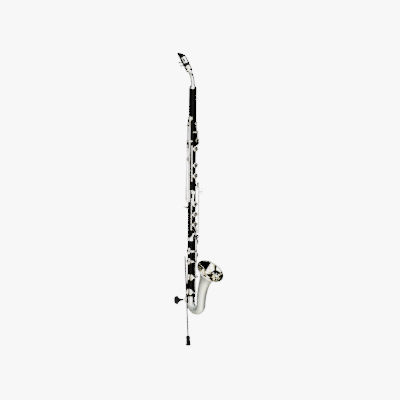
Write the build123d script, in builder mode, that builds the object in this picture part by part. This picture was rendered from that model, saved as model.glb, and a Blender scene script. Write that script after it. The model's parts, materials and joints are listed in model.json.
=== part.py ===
"""Alto clarinet with a black two-piece body, silver-plated keys, a bent neck, an upturned metal bell and a floor peg.

Frame, in millimetres: the origin is the middle of the floor peg's rubber tip, where it meets the floor.
+Z runs up along the body, -Y is the front, where the bell opens, and +Y is towards the player. Angles round the
body are counted from the front: 0 is the front, +90 the player's right side (-X), 180 the back and -90 the
player's left side (+X).
"""

import os
from math import atan2, cos, degrees, hypot, radians, sin, sqrt, tan

from build123d import *

# Body
FOOT_BACK = 9.3  # the peg's tip stands this far behind the body's axis
BODY_BOTTOM = 172.5  # lower end of the lower joint's shoulder
JOINT_LINE = 525.0  # shoulder between the two joints
BODY_TOP = 852.5
BODY_R = 13.0
BORE_R = 8.75
FIT = 0.05  # radial gap of a fit that turns or pulls apart

# Tenons and sockets
NECK_SOCKET_R = 10.6
NECK_SOCKET_DEPTH = 16.0
TENON_R = 10.9  # middle tenon, over its cork
TENON_LENGTH = 20.0
SOCKET_BULGE_R = 14.0
BELL_TENON_R = 11.8
BELL_TENON_LENGTH = 16.0
BODY_FOOT_R = 16.7  # the flare at the lower joint's foot
CORK_THICK = 1.1
RING_THICK = 0.7
RING_HEIGHT = 1.6
JOINT_RING_HEIGHT = 3.0

# Neck
NECK_TUBE_R = 6.8
NECK_WALL = 0.9
NECK_STRAIGHT = 10.5
NECK_BEND_R = 70.0
NECK_BEND = 37.0
NECK_END_STRAIGHT = 3.5  # straight end of the tube, inside the receiver
COLLAR_HEIGHT = 10.0
RECEIVER_R = 11.2
RECEIVER_LENGTH = 17.0
RECEIVER_BORE_R = 8.6

# Mouthpiece, along its own axis from its shoulder to its tip
MOUTHPIECE_LENGTH = 63.0
MOUTHPIECE_R = 11.3
MOUTHPIECE_BORE_R = 6.9
MOUTHPIECE_TENON_LENGTH = 12.0
TABLE_DEPTH = 8.2  # distance of the reed's flat seat from the axis
TABLE_START = 9.0
BEAK_START = 34.0
TIP_THICK = 1.3
TIP_HALF_WIDTH = 7.6
REED_HALF_WIDTH = 6.6
REED_TIP_THICK = 0.4
LIGATURE_START = 11.5
LIGATURE_WIDTH = 21.0
LIGATURE_THICK = 0.8
LIGATURE_SCREW_R = 1.3
LIGATURE_KNOB_R = 3.3

# Bell
BOW_OFFSET = 48.0  # body axis to the bell tube's axis at the bow
BOW_TOP = 152.0
BOW_START_R = 14.0
BOW_END_R = 15.6
BELL_CHORD = 125.5
BELL_TILT = 37.0
BELL_MOUTH_R = 46.5
BELL_WALL = 1.0
BELL_RIM_R = 1.9
BELL_COLLAR_R = 15.4

# Floor peg
PEG_TILT = 3.7
PEG_R = 3.0
PEG_LENGTH = 302.0
PEG_FOOT_R = 9.4
PEG_FOOT_HEIGHT = 32.0
PEG_SUNK = 22.0  # how far the rod goes into the rubber
BRACKET_HEIGHT = 20.0
BRACKET_R = 6.2
SCREW_R = 2.0
SCREW_REACH = 11.0
KNOB_R = 14.5
KNOB_START = 28.0
KNOB_THICK = 9.0
KNOB_LOBES = 8

# Keywork
ROD_R = 1.25
TUBE_R = 2.2
POST_R = 1.5
POST_BALL_R = 2.75
POST_HALF = 2.0  # half the length of a post's head along its rod
POST_FOOT_R = 2.7
END_GAP = 0.12  # gap between a key's tube and the post beside it
LINE_R = 17.5  # usual distance of a hinge line from the body's axis
SEAT_R = 14.3  # usual distance of a tone hole's rim from the body's axis
PAD_GAP = 0.12
PAD_THICK = 2.5
CUP_WALL = 0.75
CUP_RISE = 1.0  # the cup's rim stands this far off the tone hole
CUP_SIDE = 1.7
CUP_DOME = 1.3
ARM_WIDTH = 4.2
ARM_THICK = 2.2
PLATE_THICK = 1.6

# Fittings on the back
THUMB_REST_Z = 462.0
STRAP_RING_Z = 505.0
STRAP_HOLE_R = 4.0
STRAP_RING_R = 6.5
STRAP_RING_THICK = 2.4

AXIS_Y = -FOOT_BACK
UP = Vector(0, 0, 1)
BODY_AXIS = Axis((0, AXIS_Y, 0), (0, 0, 1))
BODY_SECTION = Plane.XZ.offset(FOOT_BACK)  # local x is X and local y is Z, through the body's axis


# ---------------------------------------------------------------- places round the body
def outward(angle):
    """Unit vector from the body's axis towards an angle round the body."""
    return Vector(-sin(radians(angle)), -cos(radians(angle)), 0)


def sideways(angle):
    """Unit vector along the body's surface, towards a larger angle."""
    return outward(angle).cross(UP)


def around(angle, radius, height):
    """The point at an angle round the body, a distance from its axis and a height."""
    return Vector(0, AXIS_Y, height) + outward(angle) * radius


def facing(angle, radius, height):
    """Plane that looks outward: local x is up and local y is towards a larger angle."""
    return Plane(origin=around(angle, radius, height), x_dir=(0, 0, 1), z_dir=outward(angle))


def section_at(angle, height):
    """Plane through the body's axis: local x is outward and local y is up, counted from a height."""
    return Plane(origin=(0, AXIS_Y, height), x_dir=outward(angle), z_dir=sideways(angle))


def level(height):
    """Level plane centred on the body's axis."""
    return Plane(origin=(0, AXIS_Y, height))


def finish(piece, name):
    """Labels a piece and writes it."""
    piece.label = name
    export_step(piece, f"parts/{name}.step")
    print(name, len(piece.solids()), round(piece.volume))


# ---------------------------------------------------------------- bars, cups and plates
def bar(start, end, via=None, width=ARM_WIDTH, thick=ARM_THICK, out=None):
    """Adds a rounded bar between two points, straight or bent through a third. out is roughly its flat side's normal."""
    with BuildLine(mode=Mode.PRIVATE) as route:
        if via is None:
            Line(start, end)
        else:
            ThreePointArc(start, via, end)
    path = route.line
    along = path % 0
    normal = out if out is not None else UP.cross(along)
    across = along.cross(normal).normalized()
    with BuildSketch(Plane(origin=path @ 0, x_dir=across, z_dir=along)) as bar_section:
        RectangleRounded(width, thick, thick * 0.42)
    sweep(sections=bar_section.sketch, path=path)


def arched(angle_a, radius_a, angle_b, radius_b, height_a, height_b, bulge, width=ARM_WIDTH):
    """Adds an arm that arches round the body between two places."""
    half = ((angle_b - angle_a + 180) % 360 - 180) / 2
    middle = around(angle_a + half, bulge, (height_a + height_b) / 2)
    bar(around(angle_a, radius_a, height_a), around(angle_b, radius_b, height_b), middle, width)


def plate(angle, radius, height, tall, wide):
    """Adds a touch plate with round corners, facing outward."""
    with BuildSketch(facing(angle, radius, height)) as outline:
        RectangleRounded(tall, wide, min(tall, wide) * 0.42)
    extrude(outline.sketch, amount=PLATE_THICK)


def curved_plate(angle, radius, height, tall, wide):
    """Adds a wide touch with round ends, bent round the body."""
    with BuildPart(mode=Mode.PRIVATE) as shell:
        with BuildSketch(level(height - tall)) as outline:
            Circle(radius + PLATE_THICK)
            Circle(radius, mode=Mode.SUBTRACT)
        extrude(outline.sketch, amount=2 * tall)
        with BuildSketch(facing(angle, radius / 2, height)) as outline:
            RectangleRounded(tall, wide, tall * 0.42)
        extrude(outline.sketch, amount=radius, mode=Mode.INTERSECT)
    add(shell.part)


def cup(angle, seat, height, radius, plateau=False):
    """Adds a key cup over a tone hole: domed, or with a dished top for a finger."""
    base = seat + CUP_RISE
    side = base + CUP_SIDE
    inside = seat + PAD_GAP + PAD_THICK
    with BuildSketch(section_at(angle, height)) as outline:
        with BuildLine():
            Polyline((inside, 0), (inside, radius - CUP_WALL), (base, radius - CUP_WALL), (base, radius), (side, radius))
            if plateau:
                Line((side, radius), (side + 0.9, radius - 0.9))
                ThreePointArc((side + 0.9, radius - 0.9), (side + 0.5, radius * 0.5), (side + 0.35, 0))
                Line((side + 0.35, 0), (inside, 0))
            else:
                ThreePointArc((side, radius), (side + CUP_DOME * 0.75, radius * 0.55), (side + CUP_DOME, 0))
                Line((side + CUP_DOME, 0), (inside, 0))
        make_face()
    revolve(outline.sketch, axis=Axis(around(angle, 0, height), outward(angle)))


def pad_for(angle, height, radius):
    """The pad that fills a cup, closed on its tone hole."""
    with BuildPart() as pad:
        with BuildSketch(facing(angle, SEAT_R + PAD_GAP, height)) as outline:
            Circle(radius - CUP_WALL - 0.02)
        extrude(outline.sketch, amount=PAD_THICK - 0.02)
        edge = pad.faces().sort_by(Axis(around(angle, 0, height), outward(angle)))[0].edges()
        fillet(edge, 0.5)
    return pad.part


CROWN = SEAT_R + CUP_RISE + CUP_SIDE + CUP_DOME  # distance of a domed cup's top from the body's axis


# ---------------------------------------------------------------- keys hinged along the body
# A hinge line has an angle, a distance from the body's axis and the heights of its posts. A key hangs between one post and
# the next, and is one soldered piece: hinge tube, arms, cup and touch. cup is (height, angle, radius) and touch is (height,
# angle, distance, height of the plate, its width). An open key stands open until it is pressed. A foot is where a lever
# meets the key, a bridge is a finger with a round end that reaches over the middle joint, and a wing is a second touch.
LINES = {
    "left_stack": (47, LINE_R, (557, 590, 623, 668)),
    "right_stack": (47, LINE_R, (398, 430, 463, 497)),
    "low_e": (-14, LINE_R, (183, 402)),
    "low_f": (-70, LINE_R, (232, 398)),
    "low_sharps": (-42, LINE_R, (285, 319.5, 368)),
    "thumb": (-135, LINE_R, (609, 638)),
    "throat": (-50, LINE_R, (670, 716)),
    "left_e": (-38, 22.5, (386, 534)),
    "left_f": (-96, 19.0, (380, 552)),
}
KEYS = {
    "left_first_key": dict(line="left_stack", span=2, cup=(660, 0, 8.2), plateau=True, open=True, lift=2.8),
    "left_second_key": dict(line="left_stack", span=1, cup=(607, 0, 8.2), plateau=True, open=True, lift=2.8),
    "left_third_key": dict(line="left_stack", span=0, cup=(573, 0, 8.2), plateau=True, open=True, lift=2.8),
    "right_first_key": dict(
        line="right_stack", span=2, cup=(480, 0, 8.4), plateau=True, open=True, lift=2.8, bridge=(519, 29, 19.6, 4.8),
    ),
    "right_second_key": dict(line="right_stack", span=1, cup=(447, 0, 8.4), plateau=True, open=True, lift=2.8),
    "right_third_key": dict(line="right_stack", span=0, cup=(414, 0, 8.4), plateau=True, open=True, lift=2.8),
    "thumb_key": dict(line="thumb", span=0, cup=(624, 180, 8.0), plateau=True, open=True, lift=2.6),
    "low_e_key": dict(
        line="low_e", span=0, cup=(190, 70, 9.9), bulge=21.4, touch=(390, 22, 20.4, 17, 9), wing=(367, 61, 20.6, 9, 22),
        foot=(393, -26.4, 21.4), open=True, lift=3.2,
    ),
    "low_f_key": dict(
        line="low_f", span=0, cup=(239, 70, 9.9), bulge=22.6, touch=(371, 8, 21.2, 16, 8.5), touch_root=375.5,
        touch_bulge=23.6, foot=(389, -84, 19.6), open=True, lift=2.0,
    ),
    "low_f_sharp_key": dict(
        line="low_sharps", span=0, cup=(292, 70, 9.5), bulge=23.2, touch=(308, -66, 22.6, 15, 8), lift=2.4,
    ),
    "low_g_sharp_key": dict(
        line="low_sharps", span=1, cup=(326, 70, 9.5), bulge=23.2, touch=(352, -66, 22.6, 16, 8), lift=2.4,
    ),
    "throat_g_sharp_key": dict(line="throat", span=0, cup=(705, -80, 5.6), touch=(683, -32, 20.6, 19, 7.2), lift=2.4),
}
LEVERS = {  # the left little finger's levers, each lifting a low key's foot
    "left_e_lever": dict(line="left_e", span=0, touch=(519, -60, 32.5, 22, 9), tail=(393, -26.5, 16.6), moves="low_e_key"),
    "left_f_lever": dict(line="left_f", span=0, touch=(537, -100, 30.5, 22, 9), tail=(389, -84, 15.5), moves="low_f_key"),
}


def line_of(key):
    """Angle and distance of a key's hinge line, and the lower and upper end of its tube."""
    angle, radius, posts = LINES[key["line"]]
    shift = POST_HALF + END_GAP
    return angle, radius, posts[key["span"]] + shift, posts[key["span"] + 1] - shift


def hinge_axis(key):
    """The hinge line of a key as an axis that points up."""
    angle, radius, _, _ = line_of(key)
    return Axis(around(angle, radius, 0), (0, 0, 1))


def apart(angle_a, angle_b):
    """Signed angle from b to a."""
    return (angle_a - angle_b + 180) % 360 - 180


def turn(key):
    """Degrees that a key turns between closed and open, from its pad's lift."""
    angle, radius, _, _ = line_of(key)
    reach = radius * sin(radians(abs(apart(key["cup"][1], angle))))
    return round(key["lift"] / reach / radians(1), 1)


def opening_sign(key):
    """+1 if the cup moves outward when the key turns anticlockwise seen from above, otherwise -1."""
    return 1 if apart(key["cup"][1], line_of(key)[0]) > 0 else -1


def tube(key):
    """Adds a key's hinge tube."""
    angle, radius, low, high = line_of(key)
    with BuildSketch(Plane(origin=around(angle, radius, low))) as outline:
        Circle(TUBE_R)
    extrude(outline.sketch, amount=high - low)


def bore_tube(key):
    """Cuts the hinge tube's bore, after everything that meets the tube."""
    angle, radius, low, high = line_of(key)
    with BuildSketch(Plane(origin=around(angle, radius, low - 1))) as outline:
        Circle(ROD_R + FIT)
    extrude(outline.sketch, amount=high - low + 2, mode=Mode.SUBTRACT)


def touch_arm(key):
    """Adds the arm to a key's touch, and the touch."""
    angle, radius, low, high = line_of(key)
    height, touch_angle, touch_radius, tall, wide = key["touch"]
    root = key.get("touch_root", min(max(height, low + 3), high - 3))
    bulge = key.get("touch_bulge", (radius + touch_radius) / 2 + 1.6)
    arched(angle, radius, touch_angle, touch_radius + PLATE_THICK / 2, root, height, bulge)
    plate(touch_angle, touch_radius, height, tall, wide)


def hinged_key(key):
    """A key and its pad, closed on the tone hole."""
    angle, radius, low, high = line_of(key)
    height, cup_angle, cup_radius = key["cup"]
    plateau = key.get("plateau", False)
    with BuildPart() as made:
        tube(key)
        if plateau:
            rim_out = SEAT_R + CUP_RISE + CUP_SIDE + 1.3
            rim_side = cup_radius - 1.2
            rim_angle = cup_angle - opening_sign(key) * degrees(atan2(rim_side, rim_out))
            rim_distance = hypot(rim_out, rim_side)
            arched(angle, radius, rim_angle, rim_distance, height, height, rim_distance + 0.5, width=ARM_WIDTH + 1.5)
        else:
            arched(angle, radius, cup_angle, CROWN - 0.2, height, height, key.get("bulge", CROWN + 1.4))
        cup(cup_angle, SEAT_R, height, cup_radius, plateau)
        if "touch" in key:
            touch_arm(key)
        if "foot" in key:
            foot_height, foot_angle, foot_radius = key["foot"]
            bar(around(angle, radius, foot_height), around(foot_angle, foot_radius, foot_height))
        if "wing" in key:
            wing_height, wing_angle, wing_radius, tall, wide = key["wing"]
            touch_height, touch_angle, touch_radius = key["touch"][:3]
            root = around(touch_angle + 6, touch_radius + PLATE_THICK / 2, touch_height - 3)
            bar(root, around(wing_angle - 6, wing_radius + 1.2, wing_height), out=outward(wing_angle))
            curved_plate(wing_angle, wing_radius, wing_height, tall, wide)
        if "bridge" in key:
            end_height, end_angle, end_radius, round_r = key["bridge"]
            end = around(end_angle, end_radius + PLATE_THICK / 2, end_height)
            bar(around(end_angle + 4, CROWN + 0.4, height), end, out=outward(end_angle))
            with BuildSketch(facing(end_angle, end_radius, end_height)) as outline:
                Circle(round_r)
            extrude(outline.sketch, amount=PLATE_THICK)
        bore_tube(key)
    return made.part, pad_for(cup_angle, height, cup_radius)


def lever(key):
    """A lever with a touch above and a tail below that reaches under a low key's foot."""
    angle, radius, low, high = line_of(key)
    with BuildPart() as made:
        tube(key)
        touch_arm(key)
        tail_height, tail_angle, tail_radius = key["tail"]
        bar(around(angle, radius, tail_height), around(tail_angle, tail_radius, tail_height))
        bore_tube(key)
    return made.part


def stand_open(piece, key):
    """Turns a piece of an open key from closed to its rest position."""
    return piece.rotate(hinge_axis(key), opening_sign(key) * turn(key))


# ---------------------------------------------------------------- keys that rock on a pivot across the body
ROCKERS = {
    "register_key": dict(angle=180, cup=(757, 5.0), pivot=(733, 19.5), arm=21.8, touch=(672, 21.4, 30, 9), lift=2.2),
    "upper_trill_key": dict(angle=70, cup=(757, 6.6), pivot=(684, LINE_R), arm=19.6, touch=(508, 20.6, 38, 7.4), lift=1.8),
    "lower_trill_key": dict(angle=100, cup=(729, 6.4), pivot=(654, LINE_R), arm=19.6, touch=(514, 21.4, 42, 7.4), lift=1.8),
    "throat_a_key": dict(angle=2, cup=(742, 5.8), pivot=(713, LINE_R), arm=19.6, touch=(682, 20.4, 22, 8.4), lift=2.0),
}
ROCKER_TUBE_HALF = 2.7
ROCKER_ARM_HALF = 1.7
ROCKER_POST_HALF = 1.4


def rocker_axis(key):
    """The pivot of a rocking key, directed so that a positive turn lifts the cup."""
    height, radius = key["pivot"]
    return Axis(around(key["angle"], radius, height), -sideways(key["angle"]))


def rocker_turn(key):
    """Degrees that a rocking key turns, from its pad's lift."""
    return round(key["lift"] / (key["cup"][0] - key["pivot"][0]) / radians(1), 2)


def rocking_key(key):
    """A rocking key and its pad, closed."""
    angle = key["angle"]
    cup_height, cup_radius = key["cup"]
    pivot_height, pivot_radius = key["pivot"]
    touch_height, touch_radius, tall, wide = key["touch"]
    side = sideways(angle)
    with BuildPart() as made:
        cross = around(angle, pivot_radius, pivot_height)
        with BuildSketch(Plane(origin=cross - side * ROCKER_TUBE_HALF, x_dir=UP, z_dir=side)) as outline:
            Circle(TUBE_R)
        extrude(outline.sketch, amount=2 * ROCKER_TUBE_HALF)
        half = ARM_THICK / 2
        route = (
            (CROWN - 0.2, cup_height + 2),
            (key["arm"], (cup_height + 2 * pivot_height) / 3),
            (key["arm"], pivot_height - 3),
            (touch_radius + PLATE_THICK / 2, touch_height + tall / 2 + 3),
            (touch_radius + PLATE_THICK / 2, touch_height),
        )
        with BuildSketch(section_at(angle, 0)) as outline:
            with BuildLine():
                Polyline(*[(r + half, z) for r, z in route], *[(r - half, z) for r, z in reversed(route)], close=True)
            make_face()
        extrude(outline.sketch, amount=ROCKER_ARM_HALF, both=True)
        cup(angle, SEAT_R, cup_height, cup_radius)
        plate(angle, touch_radius, touch_height, tall, wide)
        with BuildSketch(Plane(origin=cross - side * 10, x_dir=UP, z_dir=side)) as outline:
            Circle(ROD_R + FIT)
        extrude(outline.sketch, amount=20, mode=Mode.SUBTRACT)
    return made.part, pad_for(angle, cup_height, cup_radius)


# ---------------------------------------------------------------- posts and rods
def posts_list():
    """Every post as (foot's angle, shift along the surface, height, distance of the rod, rod's direction, half width)."""
    found = []
    for angle, radius, heights in LINES.values():
        for height in heights:
            found.append((angle, 0.0, height, radius, UP, POST_HALF))
    for key in ROCKERS.values():
        height, radius = key["pivot"]
        shift = ROCKER_TUBE_HALF + END_GAP + ROCKER_POST_HALF
        for side in (-1, 1):
            found.append((key["angle"], side * shift, height, radius, sideways(key["angle"]), ROCKER_POST_HALF))
    return found


def post_foot(angle, shift, height, top, mode=Mode.ADD):
    """Adds or cuts a post's stem and flange, from inside the wood to a distance from the axis."""
    place = facing(angle, BODY_R - 2.2, height)
    with BuildSketch(Plane(origin=place.origin + sideways(angle) * shift, x_dir=place.x_dir, z_dir=place.z_dir)) as outline:
        Circle(POST_R)
    extrude(outline.sketch, amount=top - BODY_R + 2.2, mode=mode)
    with BuildSketch(Plane(origin=place.origin + sideways(angle) * shift, x_dir=place.x_dir, z_dir=place.z_dir)) as outline:
        Circle(POST_FOOT_R)
    extrude(outline.sketch, amount=2.9, mode=mode)


def post_head(angle, shift, height, radius, along, half):
    """Adds a post's ball, with flats where the tubes meet it."""
    middle = around(angle, radius, height) + sideways(angle) * shift
    flat = sqrt(POST_BALL_R**2 - half**2)
    with BuildSketch(Plane(origin=middle, x_dir=outward(angle), z_dir=outward(angle).cross(along))) as outline:
        with BuildLine():
            Polyline((flat, half), (0, half), (0, -half), (flat, -half))
            ThreePointArc((flat, -half), (POST_BALL_R, 0), (flat, half))
        make_face()
    revolve(outline.sketch, axis=Axis(middle, along))


def rods(over, mode=Mode.ADD):
    """Adds or cuts the hinge rods and pivot screws."""
    for angle, radius, heights in LINES.values():
        start = heights[0] - POST_HALF - over
        with BuildSketch(Plane(origin=around(angle, radius, start))) as outline:
            Circle(ROD_R)
        extrude(outline.sketch, amount=heights[-1] - heights[0] + 2 * (POST_HALF + over), mode=mode)
    for key in ROCKERS.values():
        height, radius = key["pivot"]
        side = sideways(key["angle"])
        reach = ROCKER_TUBE_HALF + END_GAP + 2 * ROCKER_POST_HALF + over
        with BuildSketch(Plane(origin=around(key["angle"], radius, height) - side * reach, x_dir=UP, z_dir=side)) as outline:
            Circle(ROD_R)
        extrude(outline.sketch, amount=2 * reach, mode=mode)


def tone_holes():
    """Every tone hole as (angle, height, radius of the cup)."""
    holes = [(key["cup"][1], key["cup"][0], key["cup"][2]) for key in KEYS.values()]
    return holes + [(key["angle"], key["cup"][0], key["cup"][1]) for key in ROCKERS.values()]


# ---------------------------------------------------------------- turned pieces
def turned(points, mode=Mode.ADD):
    """Adds or cuts a piece turned about the body's axis, from its half outline as (distance, height)."""
    with BuildSketch(BODY_SECTION) as outline:
        with BuildLine():
            Polyline(*points, close=True)
        make_face()
    revolve(outline.sketch, axis=BODY_AXIS, mode=mode)


def wooden_joint(profile, low, high):
    """One joint of the body, turned, with the raised rims of its tone holes, its holes and the posts' seats."""
    with BuildPart() as joint:
        turned(profile)
        for angle, height, radius in tone_holes():
            if low < height < high:
                with BuildSketch(facing(angle, 6, height)) as outline:
                    Circle(radius - 1.5)
                extrude(outline.sketch, amount=SEAT_R - 6)
        with BuildSketch(level(low - 40)) as outline:
            Circle(BORE_R)
        extrude(outline.sketch, amount=high - low + 80, mode=Mode.SUBTRACT)
        for angle, height, radius in tone_holes():
            if low < height < high:
                with BuildSketch(facing(angle, 2, height)) as outline:
                    Circle(radius * 0.58)
                extrude(outline.sketch, amount=SEAT_R, mode=Mode.SUBTRACT)
        for angle, shift, height, radius, _, _ in posts_list():
            if low < height < high:
                post_foot(angle, shift, height, radius, Mode.SUBTRACT)
    return joint.part


def upper_joint():
    tenon = TENON_R - CORK_THICK
    profile = (
        (0, BODY_TOP - NECK_SOCKET_DEPTH),
        (NECK_SOCKET_R, BODY_TOP - NECK_SOCKET_DEPTH),
        (NECK_SOCKET_R, BODY_TOP),
        (BODY_R - RING_THICK, BODY_TOP),
        (BODY_R - RING_THICK, BODY_TOP - RING_HEIGHT),
        (BODY_R, BODY_TOP - RING_HEIGHT),
        (BODY_R, JOINT_LINE),
        (TENON_R, JOINT_LINE),
        (TENON_R, JOINT_LINE - 3),
        (tenon, JOINT_LINE - 3),
        (tenon, JOINT_LINE - TENON_LENGTH + 3),
        (TENON_R, JOINT_LINE - TENON_LENGTH + 3),
        (TENON_R, JOINT_LINE - TENON_LENGTH),
        (0, JOINT_LINE - TENON_LENGTH),
    )
    return wooden_joint(profile, JOINT_LINE, BODY_TOP)


def lower_joint():
    tenon = BELL_TENON_R - CORK_THICK
    profile = (
        (0, JOINT_LINE - TENON_LENGTH),
        (TENON_R, JOINT_LINE - TENON_LENGTH),
        (TENON_R, JOINT_LINE),
        (SOCKET_BULGE_R - RING_THICK, JOINT_LINE),
        (SOCKET_BULGE_R - RING_THICK, JOINT_LINE - JOINT_RING_HEIGHT),
        (SOCKET_BULGE_R, JOINT_LINE - JOINT_RING_HEIGHT),
        (SOCKET_BULGE_R, JOINT_LINE - TENON_LENGTH + 3),
        (BODY_R, JOINT_LINE - TENON_LENGTH - 3),
        (BODY_R, BODY_BOTTOM + 13),
        (BODY_R + 0.6, BODY_BOTTOM + 9),
        (BODY_R + 1.8, BODY_BOTTOM + 5.5),
        (BODY_FOOT_R, BODY_BOTTOM + 3),
        (BODY_FOOT_R, BODY_BOTTOM),
        (BELL_TENON_R, BODY_BOTTOM),
        (BELL_TENON_R, BODY_BOTTOM - 2.5),
        (tenon, BODY_BOTTOM - 2.5),
        (tenon, BODY_BOTTOM - BELL_TENON_LENGTH + 2.5),
        (BELL_TENON_R, BODY_BOTTOM - BELL_TENON_LENGTH + 2.5),
        (BELL_TENON_R, BODY_BOTTOM - BELL_TENON_LENGTH),
        (0, BODY_BOTTOM - BELL_TENON_LENGTH),
    )
    return wooden_joint(profile, BODY_BOTTOM, JOINT_LINE - 0.1)


def ring(inner, outer, low, high, crown=0.35):
    """Adds a ring with a slightly raised middle."""
    middle = (low + high) / 2
    with BuildSketch(BODY_SECTION) as outline:
        with BuildLine():
            Polyline((outer, low), (inner, low), (inner, high), (outer, high))
            ThreePointArc((outer, high), (outer + crown, middle), (outer, low))
        make_face()
    revolve(outline.sketch, axis=BODY_AXIS)


def body_rings():
    with BuildPart() as rings:
        ring(BODY_R - RING_THICK, BODY_R, BODY_TOP - RING_HEIGHT, BODY_TOP)
        ring(SOCKET_BULGE_R - RING_THICK, SOCKET_BULGE_R, JOINT_LINE - JOINT_RING_HEIGHT, JOINT_LINE)
    return rings.part


def tenon_corks():
    with BuildPart() as corks:
        for radius, low, high in (
            (TENON_R, JOINT_LINE - TENON_LENGTH + 3, JOINT_LINE - 3),
            (BELL_TENON_R, BODY_BOTTOM - BELL_TENON_LENGTH + 2.5, BODY_BOTTOM - 2.5),
        ):
            with BuildSketch(level(low)) as outline:
                Circle(radius)
                Circle(radius - CORK_THICK, mode=Mode.SUBTRACT)
            extrude(outline.sketch, amount=high - low)
    return corks.part


def key_posts():
    with BuildPart() as posts:
        for angle, shift, height, radius, along, half in posts_list():
            post_foot(angle, shift, height, radius)
            post_head(angle, shift, height, radius, along, half)
        rods(1, Mode.SUBTRACT)
        with BuildSketch(level(0)) as outline:
            Circle(BORE_R)
        extrude(outline.sketch, amount=BODY_TOP, mode=Mode.SUBTRACT)
    return posts.part


def hinge_rods():
    with BuildPart() as steel:
        rods(0.5)
    return steel.part


# ---------------------------------------------------------------- neck
BEND_START = BODY_TOP + NECK_STRAIGHT
NECK_LEAN = radians(NECK_BEND)
NECK_ALONG = Vector(0, sin(NECK_LEAN), cos(NECK_LEAN))
BEND_END = Vector(0, AXIS_Y + NECK_BEND_R * (1 - cos(NECK_LEAN)), BEND_START + NECK_BEND_R * sin(NECK_LEAN))
NECK_END = BEND_END + NECK_ALONG * RECEIVER_LENGTH
MOUTH = Plane(origin=NECK_END, x_dir=(1, 0, 0), z_dir=NECK_ALONG)  # local y points to the reed's side
MOUTH_SIDE = Plane(origin=NECK_END, x_dir=NECK_ALONG, z_dir=(-1, 0, 0))  # local x along the mouthpiece, y to the reed
MOUTH_TOP = Plane(origin=NECK_END, x_dir=NECK_ALONG, z_dir=MOUTH.y_dir)  # local x along the mouthpiece, seen from the reed
MOUTH_AXIS = Axis(NECK_END, NECK_ALONG)


def along_mouth(points, mode=Mode.ADD):
    """Adds or cuts a piece turned about the mouthpiece's axis, from (place along it, distance)."""
    with BuildSketch(MOUTH_SIDE) as outline:
        with BuildLine():
            Polyline(*points, close=True)
        make_face()
    revolve(outline.sketch, axis=MOUTH_AXIS, mode=mode)


def neck_route():
    """The neck's centre line, from inside the socket to the receiver."""
    with BuildLine() as route:
        Line((0, AXIS_Y, BODY_TOP - NECK_SOCKET_DEPTH + 1), (0, AXIS_Y, BEND_START))
        ThreePointArc(
            (0, AXIS_Y, BEND_START),
            (
                0,
                AXIS_Y + NECK_BEND_R * (1 - cos(NECK_LEAN / 2)),
                BEND_START + NECK_BEND_R * sin(NECK_LEAN / 2),
            ),
            BEND_END,
        )
        Line(BEND_END, BEND_END + NECK_ALONG * NECK_END_STRAIGHT)
    return route.line


def neck_tube():
    with BuildPart() as neck:
        with BuildSketch(level(BODY_TOP - NECK_SOCKET_DEPTH + 1)) as outline:
            Circle(NECK_TUBE_R)
            Circle(NECK_TUBE_R - NECK_WALL, mode=Mode.SUBTRACT)
        sweep(sections=outline.sketch, path=neck_route())
    return neck.part


def neck_collar():
    """The turned collar that stands on the body's top ring, with the sleeve that carries the cork."""
    low = BODY_TOP + 0.3
    with BuildPart() as collar:
        turned(
            (
                (NECK_TUBE_R, BODY_TOP - NECK_SOCKET_DEPTH + 1),
                (NECK_SOCKET_R - CORK_THICK, BODY_TOP - NECK_SOCKET_DEPTH + 1),
                (NECK_SOCKET_R - CORK_THICK, BODY_TOP - 2),
                (NECK_SOCKET_R - FIT, BODY_TOP - 2),
                (NECK_SOCKET_R - FIT, low),
                (BODY_R - 0.2, low),
                (BODY_R - 0.2, low + 1.6),
                (BODY_R - 1.2, low + 2.4),
                (NECK_TUBE_R + 1.6, low + COLLAR_HEIGHT - 2),
                (NECK_TUBE_R + 1.2, low + COLLAR_HEIGHT),
                (NECK_TUBE_R, low + COLLAR_HEIGHT),
            )
        )
    return collar.part


def neck_cork():
    with BuildPart() as cork:
        with BuildSketch(level(BODY_TOP - NECK_SOCKET_DEPTH + 1)) as outline:
            Circle(NECK_SOCKET_R - FIT)
            Circle(NECK_SOCKET_R - CORK_THICK, mode=Mode.SUBTRACT)
        extrude(outline.sketch, amount=NECK_SOCKET_DEPTH - 3)
    return cork.part


def neck_receiver():
    """The socket for the mouthpiece, with its beads."""
    tube_end = NECK_END_STRAIGHT - RECEIVER_LENGTH
    floor = -MOUTHPIECE_TENON_LENGTH - 0.3
    with BuildPart() as receiver:
        along_mouth(
            (
                (-RECEIVER_LENGTH + 0.5, NECK_TUBE_R),
                (-RECEIVER_LENGTH + 0.5, NECK_TUBE_R + 1.2),
                (-RECEIVER_LENGTH + 3, RECEIVER_R - 0.8),
                (-RECEIVER_LENGTH + 4, RECEIVER_R),
                (-RECEIVER_LENGTH + 6.5, RECEIVER_R),
                (-RECEIVER_LENGTH + 7.5, RECEIVER_R - 0.9),
                (-4.5, RECEIVER_R - 0.9),
                (-3.5, RECEIVER_R),
                (-0.3, RECEIVER_R),
                (-0.3, RECEIVER_BORE_R),
                (floor, RECEIVER_BORE_R),
                (floor, NECK_TUBE_R - NECK_WALL),
                (tube_end, NECK_TUBE_R - NECK_WALL),
                (tube_end, NECK_TUBE_R),
            )
        )
    return receiver.part


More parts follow.
